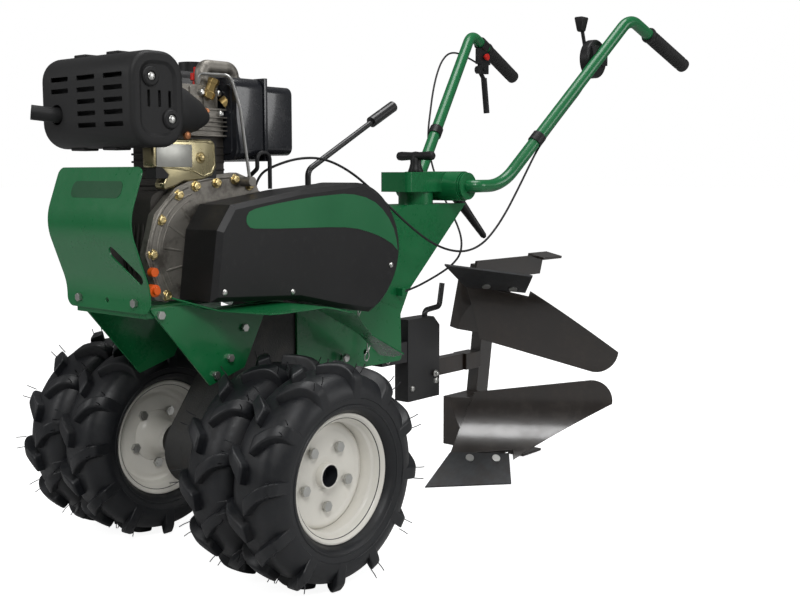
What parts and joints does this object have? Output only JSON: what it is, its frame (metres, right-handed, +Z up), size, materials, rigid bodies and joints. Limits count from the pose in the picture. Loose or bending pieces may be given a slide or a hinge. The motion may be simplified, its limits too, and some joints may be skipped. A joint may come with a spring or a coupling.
{
  "type": "walk-behind tiller",
  "caption": "Walk-behind diesel tiller with twin lugged wheels, belt drive cover, upswept handlebars and a turnover plough on a crank-adjusted hitch.",
  "frame": {"origin": "on the floor under the middle of the machine's bounding box", "axes": "+X forward to the engine, +Y to the machine's left, +Z up"},
  "size_m": [1.7238, 0.715, 1.1238],
  "materials": {
    "green_paint": "gloss green paint",
    "tyre_rubber": "lugged tyre rubber",
    "cream_paint": "cream wheel paint",
    "zinc_steel": "zinc plated fasteners",
    "gold_zinc": "yellow passivated sheet and bolts",
    "cast_alloy": "as-cast aluminium alloy",
    "cast_grey": "grey painted casting",
    "black_paint": "black paint",
    "matt_black_metal": "heat resistant matt black",
    "exhaust_steel": "dull exhaust steel",
    "black_plastic": "textured black plastic",
    "gloss_black_plastic": "gloss black plastic",
    "red_plastic": "red cap",
    "orange_plastic": "orange oil plug",
    "belt_rubber": "belt rubber",
    "grip_rubber": "black grip rubber",
    "cable_sheath": "cable sheath",
    "plough_paint": "brown-black dip paint",
    "share_steel": "grey share steel",
    "steel": "plain steel"
  },
  "bodies": {
    "chassis": {"gearbox": "cast_grey", "v_belt": "belt_rubber", "belt_cover": "black_plastic", "belt_cover_back": "black_paint", "engine_frame": "green_paint", "front_guard": "green_paint", "side_plates": "green_paint", "fenders": "green_paint", "column": "green_paint", "crankcase": "cast_alloy", "crankcase_cover": "cast_alloy", "cylinder_head": "cast_alloy", "rocker_cover": "cast_alloy", "blower_housing": "gold_zinc", "recoil_starter": "black_paint", "muffler": "exhaust_steel", "muffler_shield": "matt_black_metal", "air_cleaner_base": "gloss_black_plastic", "air_cleaner_cover": "gloss_black_plastic", "intake_elbow": "cast_alloy", "fuel_tank": "black_paint", "fuel_cap": "black_plastic", "injector_pipe": "steel", "return_hose": "cable_sheath", "oil_plugs": "orange_plastic", "chassis_bolts": "gold_zinc", "hitch_box": "black_paint", "throttle_cable": "cable_sheath", "clutch_cable": "cable_sheath"},
    "axle": {"axle_shaft": "steel", "tyres": "tyre_rubber", "rims": "cream_paint", "wheel_bolts": "zinc_steel"},
    "crank_pulley": {"crank_pulley": "steel"},
    "driven_pulley": {"driven_pulley": "steel"},
    "belt_tensioner": {"belt_tensioner": "zinc_steel"},
    "decompression_lever": {"decompression_lever": "red_plastic"},
    "recoil_grip": {"recoil_grip": "black_plastic"},
    "shift_lever": {"shift_lever": "black_paint"},
    "head": {"steering_head": "green_paint"},
    "clamp_lever": {"clamp_lever": "black_plastic"},
    "height_knob": {"height_knob": "black_plastic"},
    "handlebars": {"cross_tube": "green_paint", "left_bar": "green_paint", "right_bar": "green_paint", "grips": "grip_rubber", "throttle_housing": "black_plastic", "clutch_bracket": "black_plastic", "cable_clips": "black_plastic"},
    "throttle_lever": {"throttle_lever": "black_plastic"},
    "clutch_lever": {"clutch_lever": "black_plastic"},
    "stop_button": {"stop_button": "red_plastic"},
    "beam_socket": {"beam_socket": "plough_paint"},
    "hitch_crank": {"hitch_crank": "black_paint"},
    "plough": {"plough_beam": "plough_paint", "plough_shank": "plough_paint", "shares": "share_steel", "mouldboards": "plough_paint", "landsides": "plough_paint", "plough_bolts": "zinc_steel"}
  },
  "joints": [
    {"name": "axle_turn", "type": "hinge", "parent": "chassis", "child": "axle", "pos_m": [0.555, 0, 0.203], "axis": [0, 1, 0], "continuous": true},
    {"name": "crank_turn", "type": "hinge", "parent": "chassis", "child": "crank_pulley", "pos_m": [0.585, 0.088, 0.611], "axis": [0, 1, 0], "continuous": true},
    {"name": "input_turn", "type": "hinge", "parent": "chassis", "child": "driven_pulley", "pos_m": [0.293, 0.088, 0.582], "axis": [0, 1, 0], "continuous": true},
    {"name": "tensioner_swing", "type": "hinge", "parent": "chassis", "child": "belt_tensioner", "pos_m": [0.499, 0.072, 0.552], "axis": [0, 1, 0], "range_deg": [-7.5, 0], "deforming": ["v_belt", "clutch_cable"]},
    {"name": "decompression_turn", "type": "hinge", "parent": "chassis", "child": "decompression_lever", "pos_m": [0.555, -0.03, 0.905], "axis": [0, 0, 1], "range_deg": [0, 60]},
    {"name": "recoil_pull", "type": "slide", "parent": "chassis", "child": "recoil_grip", "axis": [-1, 0, 0], "range_m": [0, 0.35]},
    {"name": "shift_swing", "type": "hinge", "parent": "chassis", "child": "shift_lever", "pos_m": [0.319, 0.03, 0.66], "axis": [0, 1, 0], "range_deg": [-8, 8]},
    {"name": "head_swivel", "type": "hinge", "parent": "chassis", "child": "head", "pos_m": [-0.063, 0, 0.7], "axis": [0, 0, 1], "range_deg": [-30, 30], "deforming": ["throttle_cable", "clutch_cable"]},
    {"name": "clamp_lever_turn", "type": "hinge", "parent": "head", "child": "clamp_lever", "pos_m": [-0.203, 0.048, 0.688], "axis": [0, 1, 0], "range_deg": [-20, 50]},
    {"name": "height_knob_turn", "type": "hinge", "parent": "head", "child": "height_knob", "pos_m": [-0.063, 0, 0.75], "axis": [0, 0, 1], "range_deg": [-180, 180]},
    {"name": "handlebar_tilt", "type": "hinge", "parent": "head", "child": "handlebars", "pos_m": [-0.135, 0, 0.703], "axis": [0, 1, 0], "range_deg": [-25, 15], "deforming": ["throttle_cable", "clutch_cable"]},
    {"name": "throttle_turn", "type": "hinge", "parent": "handlebars", "child": "throttle_lever", "pos_m": [-0.53, 0.175, 1.015], "axis": [0, 1, 0], "range_deg": [-35, 35]},
    {"name": "clutch_squeeze", "type": "hinge", "parent": "handlebars", "child": "clutch_lever", "pos_m": [-0.667, -0.262, 1.026], "axis": [0, 1, 0], "range_deg": [0, 25], "stiffness_Nm_per_rad": 4},
    {"name": "stop_press", "type": "slide", "parent": "handlebars", "child": "stop_button", "axis": [0, -1, 0], "range_m": [0, 0.003], "stiffness_N_per_m": 400},
    {"name": "hitch_pitch", "type": "hinge", "parent": "chassis", "child": "beam_socket", "pos_m": [-0.107, 0, 0.262], "axis": [0, 1, 0], "range_deg": [-3, 3]},
    {"name": "hitch_crank_turn", "type": "hinge", "parent": "chassis", "child": "hitch_crank", "pos_m": [-0.097, 0, 0.4], "axis": [0, 0, 1], "range_deg": [-720, 720]},
    {"name": "plough_turn", "type": "hinge", "parent": "beam_socket", "child": "plough", "pos_m": [-0.185, 0, 0.272], "axis": [1, 0, 0], "range_deg": [-168, 0]}
  ],
  "couplings": [
    {"joint": "tensioner_swing", "follows": "clutch_squeeze", "ratio": -0.28},
    {"joint": "input_turn", "follows": "crank_turn", "ratio": 0.46154},
    {"joint": "hitch_pitch", "follows": "hitch_crank_turn", "ratio": 0.0041667}
  ]
}
